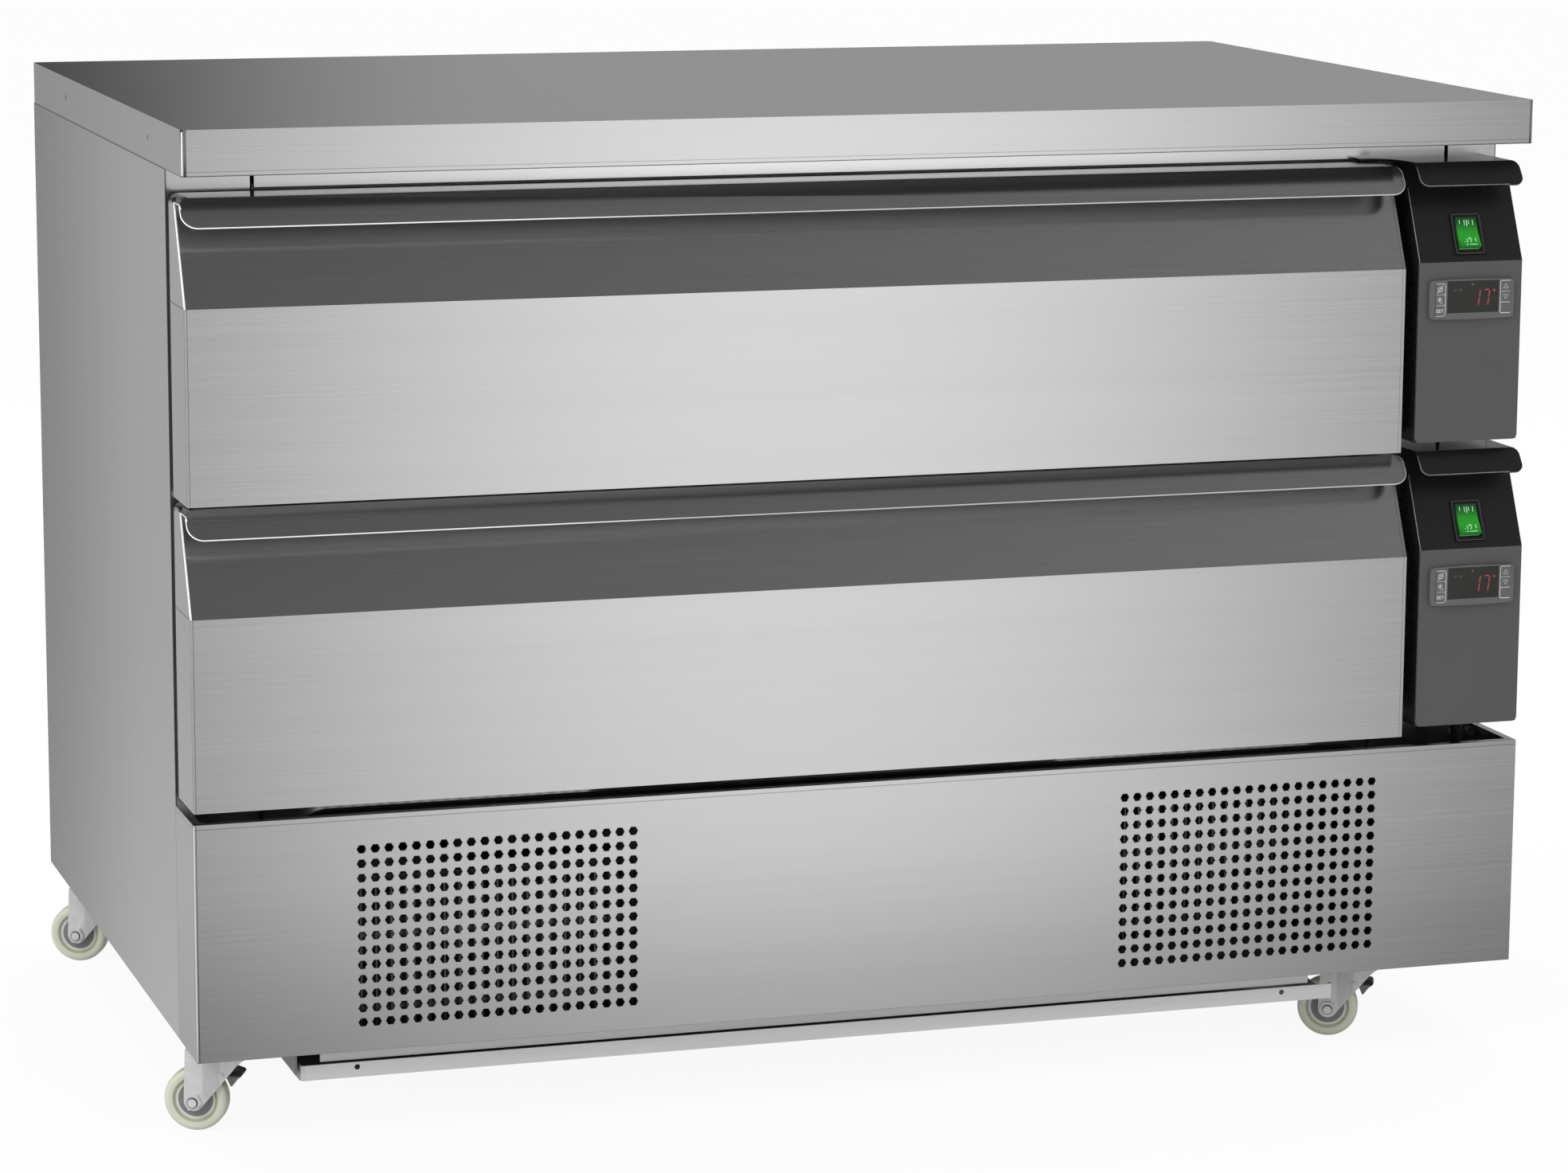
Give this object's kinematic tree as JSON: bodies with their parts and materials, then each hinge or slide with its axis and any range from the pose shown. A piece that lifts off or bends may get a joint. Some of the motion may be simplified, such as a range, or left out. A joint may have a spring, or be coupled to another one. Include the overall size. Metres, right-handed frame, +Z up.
{
  "type": "refrigerated drawer base",
  "caption": "Free-standing refrigerated counter with two wide insulated drawers, a control column at the right, a grilled machine compartment and swivel castors.",
  "frame": {"origin": "centre of the outline box in plan, on the floor under the castors", "axes": "+Z up, +X to the right of someone facing the drawers, the drawers face and open towards -Y"},
  "size_m": [1.113, 0.688, 0.782],
  "materials": {
    "brushed_stainless": "satin, horizontal grain",
    "galvanised": "dull zinc",
    "runner_zinc": "bright zinc",
    "liner_plastic": "smooth, light grey",
    "seal_rubber": "matt",
    "coil_aluminium": "plain",
    "black_plastic": "fine satin",
    "grey_plastic": "satin",
    "dark_window": "smoked, gloss",
    "switch_black": "satin",
    "switch_green": "translucent, lit",
    "fan_plastic": "matt",
    "black_paint": "semi-gloss",
    "cable_black": "matt",
    "screw_steel": "bright",
    "castor_zinc": "bright zinc",
    "key_plastic": "satin",
    "wheel_nylon": "cream nylon"
  },
  "bodies": {
    "cabinet": {"worktop": "brushed_stainless", "left_side_panel": "brushed_stainless", "right_side_panel": "brushed_stainless", "back_panel": "brushed_stainless", "face_stiles": "brushed_stainless", "face_rails": "brushed_stainless", "base_front_panel": "brushed_stainless", "inner_liner": "galvanised", "base_floor": "galvanised", "chassis_channels": "galvanised", "service_tray": "galvanised", "runner_outer_members": "runner_zinc", "insulated_lids": "liner_plastic", "lid_seals": "seal_rubber", "evaporators": "coil_aluminium", "condensers": "coil_aluminium", "control_housing_upper": "black_plastic", "control_housing_lower": "black_plastic", "control_plates": "grey_plastic", "thermostats": "grey_plastic", "thermostat_windows": "dark_window", "switch_bezels": "switch_black", "fan_shrouds": "black_paint", "compressors": "black_paint", "wiring_loom": "cable_black", "conduit": "cable_black", "face_screws": "screw_steel", "castor_plates": "castor_zinc"},
    "upper_drawer": {"drawer_front_upper": "brushed_stainless", "drawer_tub_upper": "liner_plastic", "drawer_rails_upper": "runner_zinc"},
    "upper_runner": {"runner_middle_upper": "runner_zinc"},
    "upper_power_key": {"key_upper_power": "key_plastic"},
    "upper_defrost_key": {"key_upper_defrost": "key_plastic"},
    "upper_set_key": {"key_upper_set": "key_plastic"},
    "upper_up_key": {"key_upper_up": "key_plastic"},
    "upper_down_key": {"key_upper_down": "key_plastic"},
    "lower_drawer": {"drawer_front_lower": "brushed_stainless", "drawer_tub_lower": "liner_plastic", "drawer_rails_lower": "runner_zinc"},
    "lower_runner": {"runner_middle_lower": "runner_zinc"},
    "lower_power_key": {"key_lower_power": "key_plastic"},
    "lower_defrost_key": {"key_lower_defrost": "key_plastic"},
    "lower_set_key": {"key_lower_set": "key_plastic"},
    "lower_up_key": {"key_lower_up": "key_plastic"},
    "lower_down_key": {"key_lower_down": "key_plastic"},
    "upper_rocker": {"rocker_upper": "switch_green"},
    "lower_rocker": {"rocker_lower": "switch_green"},
    "left_fan": {"fan_rotor_left": "fan_plastic"},
    "right_fan": {"fan_rotor_right": "fan_plastic"},
    "castor_front_left_fork": {"castor_fork_front_left": "castor_zinc"},
    "castor_front_left_wheel": {"castor_wheel_front_left": "wheel_nylon"},
    "castor_front_left_pedal": {"castor_brake_front_left": "black_paint"},
    "castor_front_right_fork": {"castor_fork_front_right": "castor_zinc"},
    "castor_front_right_wheel": {"castor_wheel_front_right": "wheel_nylon"},
    "castor_front_right_pedal": {"castor_brake_front_right": "black_paint"},
    "castor_back_left_fork": {"castor_fork_back_left": "castor_zinc"},
    "castor_back_left_wheel": {"castor_wheel_back_left": "wheel_nylon"},
    "castor_back_right_fork": {"castor_fork_back_right": "castor_zinc"},
    "castor_back_right_wheel": {"castor_wheel_back_right": "wheel_nylon"}
  },
  "joints": [
    {"name": "upper_drawer_slide", "type": "slide", "parent": "cabinet", "child": "upper_drawer", "axis": [0, -1, 0], "range_m": [0, 0.56]},
    {"name": "upper_runner_slide", "type": "slide", "parent": "cabinet", "child": "upper_runner", "axis": [0, -1, 0], "range_m": [0, 0.28]},
    {"name": "upper_power_key_press", "type": "slide", "parent": "cabinet", "child": "upper_power_key", "axis": [0, 1, 0], "range_m": [0, 0.0004], "stiffness_N_per_m": 600},
    {"name": "upper_defrost_key_press", "type": "slide", "parent": "cabinet", "child": "upper_defrost_key", "axis": [0, 1, 0], "range_m": [0, 0.0004], "stiffness_N_per_m": 600},
    {"name": "upper_set_key_press", "type": "slide", "parent": "cabinet", "child": "upper_set_key", "axis": [0, 1, 0], "range_m": [0, 0.0004], "stiffness_N_per_m": 600},
    {"name": "upper_up_key_press", "type": "slide", "parent": "cabinet", "child": "upper_up_key", "axis": [0, 1, 0], "range_m": [0, 0.0004], "stiffness_N_per_m": 600},
    {"name": "upper_down_key_press", "type": "slide", "parent": "cabinet", "child": "upper_down_key", "axis": [0, 1, 0], "range_m": [0, 0.0004], "stiffness_N_per_m": 600},
    {"name": "lower_drawer_slide", "type": "slide", "parent": "cabinet", "child": "lower_drawer", "axis": [0, -1, 0], "range_m": [0, 0.56]},
    {"name": "lower_runner_slide", "type": "slide", "parent": "cabinet", "child": "lower_runner", "axis": [0, -1, 0], "range_m": [0, 0.28]},
    {"name": "lower_power_key_press", "type": "slide", "parent": "cabinet", "child": "lower_power_key", "axis": [0, 1, 0], "range_m": [0, 0.0004], "stiffness_N_per_m": 600},
    {"name": "lower_defrost_key_press", "type": "slide", "parent": "cabinet", "child": "lower_defrost_key", "axis": [0, 1, 0], "range_m": [0, 0.0004], "stiffness_N_per_m": 600},
    {"name": "lower_set_key_press", "type": "slide", "parent": "cabinet", "child": "lower_set_key", "axis": [0, 1, 0], "range_m": [0, 0.0004], "stiffness_N_per_m": 600},
    {"name": "lower_up_key_press", "type": "slide", "parent": "cabinet", "child": "lower_up_key", "axis": [0, 1, 0], "range_m": [0, 0.0004], "stiffness_N_per_m": 600},
    {"name": "lower_down_key_press", "type": "slide", "parent": "cabinet", "child": "lower_down_key", "axis": [0, 1, 0], "range_m": [0, 0.0004], "stiffness_N_per_m": 600},
    {"name": "upper_rocker_tilt", "type": "hinge", "parent": "cabinet", "child": "upper_rocker", "pos_m": [0.50475, -0.32401, 0.67279], "axis": [1, 0, 0], "range_deg": [0, 14]},
    {"name": "lower_rocker_tilt", "type": "hinge", "parent": "cabinet", "child": "lower_rocker", "pos_m": [0.51075, -0.32802, 0.43879], "axis": [1, 0, 0], "range_deg": [0, 14]},
    {"name": "left_fan_spin", "type": "hinge", "parent": "cabinet", "child": "left_fan", "pos_m": [-0.3065, -0.227, 0.1355], "axis": [0, 1, 0], "continuous": true},
    {"name": "right_fan_spin", "type": "hinge", "parent": "cabinet", "child": "right_fan", "pos_m": [0.3195, -0.141, 0.1355], "axis": [0, 1, 0], "continuous": true},
    {"name": "castor_front_left_swivel", "type": "hinge", "parent": "cabinet", "child": "castor_front_left_fork", "pos_m": [-0.51339, -0.2825, 0.066], "axis": [0, 0, 1], "continuous": true},
    {"name": "castor_front_left_roll", "type": "hinge", "parent": "castor_front_left_fork", "child": "castor_front_left_wheel", "pos_m": [-0.53152, -0.27405, 0.025], "axis": [0.4226, 0.9063, 0], "continuous": true},
    {"name": "castor_front_left_brake", "type": "hinge", "parent": "castor_front_left_fork", "child": "castor_front_left_pedal", "pos_m": [-0.51158, -0.28335, 0.047], "axis": [0.4226, 0.9063, 0], "range_deg": [0, 18]},
    {"name": "castor_front_right_swivel", "type": "hinge", "parent": "cabinet", "child": "castor_front_right_fork", "pos_m": [0.4416, -0.2825, 0.066], "axis": [0, 0, 1], "continuous": true},
    {"name": "castor_front_right_roll", "type": "hinge", "parent": "castor_front_right_fork", "child": "castor_front_right_wheel", "pos_m": [0.42347, -0.27405, 0.025], "axis": [0.4226, 0.9063, 0], "continuous": true},
    {"name": "castor_front_right_brake", "type": "hinge", "parent": "castor_front_right_fork", "child": "castor_front_right_pedal", "pos_m": [0.44341, -0.28335, 0.047], "axis": [0.4226, 0.9063, 0], "range_deg": [0, 18]},
    {"name": "castor_back_left_swivel", "type": "hinge", "parent": "cabinet", "child": "castor_back_left_fork", "pos_m": [-0.51339, 0.2555, 0.066], "axis": [0, 0, 1], "continuous": true},
    {"name": "castor_back_left_roll", "type": "hinge", "parent": "castor_back_left_fork", "child": "castor_back_left_wheel", "pos_m": [-0.53152, 0.26395, 0.025], "axis": [0.4226, 0.9063, 0], "continuous": true},
    {"name": "castor_back_right_swivel", "type": "hinge", "parent": "cabinet", "child": "castor_back_right_fork", "pos_m": [0.4416, 0.2555, 0.066], "axis": [0, 0, 1], "continuous": true},
    {"name": "castor_back_right_roll", "type": "hinge", "parent": "castor_back_right_fork", "child": "castor_back_right_wheel", "pos_m": [0.42347, 0.26395, 0.025], "axis": [0.4226, 0.9063, 0], "continuous": true}
  ],
  "couplings": [
    {"joint": "upper_runner_slide", "follows": "upper_drawer_slide", "ratio": 0.5},
    {"joint": "lower_runner_slide", "follows": "lower_drawer_slide", "ratio": 0.5}
  ]
}
